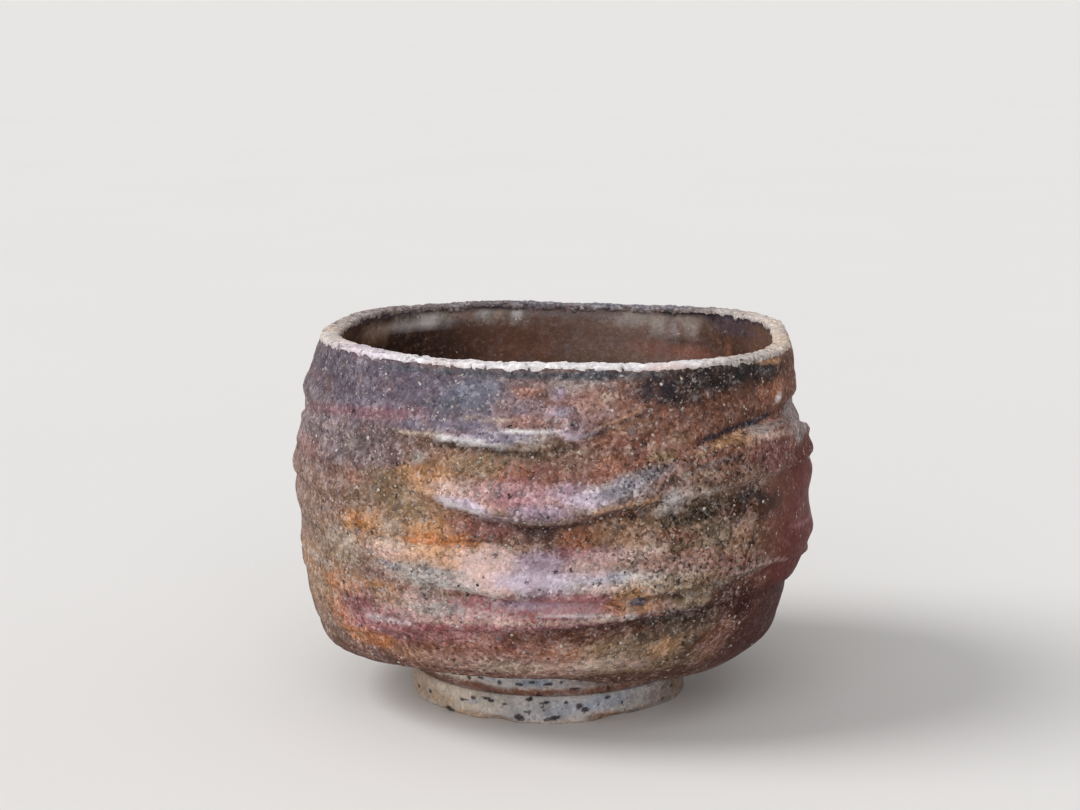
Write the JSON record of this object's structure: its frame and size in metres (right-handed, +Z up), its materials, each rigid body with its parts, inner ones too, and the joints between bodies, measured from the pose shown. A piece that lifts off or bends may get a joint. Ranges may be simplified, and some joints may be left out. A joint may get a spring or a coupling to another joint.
{
  "type": "guinomi sake cup",
  "caption": "Small wood-fired stoneware sake cup: a round bowl carved with wandering ridges, a low lip with an ash crust, and a turned foot ring.",
  "frame": {"origin": "on the surface the cup stands on, under the middle of its overall width and depth", "axes": "+Z up through the mouth, -Y towards the side that the picture shows, +X to that side's right"},
  "size_m": [0.0701, 0.0703, 0.0502],
  "materials": {
    "fired_clay": "rough, flashed by the fire, with a thin natural ash glaze in places",
    "collar_clay": "rough, rust brown line and dark pits",
    "foot_clay": "matte bare clay, pale grey with black specks",
    "ash_crust": "granular, half melted natural ash",
    "feldspar": "glassy white crystals",
    "iron_speck": "matte black melted spots"
  },
  "bodies": {
    "root": {"bowl": "fired_clay", "foot_collar": "collar_clay", "foot_ring": "foot_clay", "lip_ash_crust": "ash_crust", "feldspar_grains": "feldspar", "iron_specks": "iron_speck"}
  },
  "joints": []
}
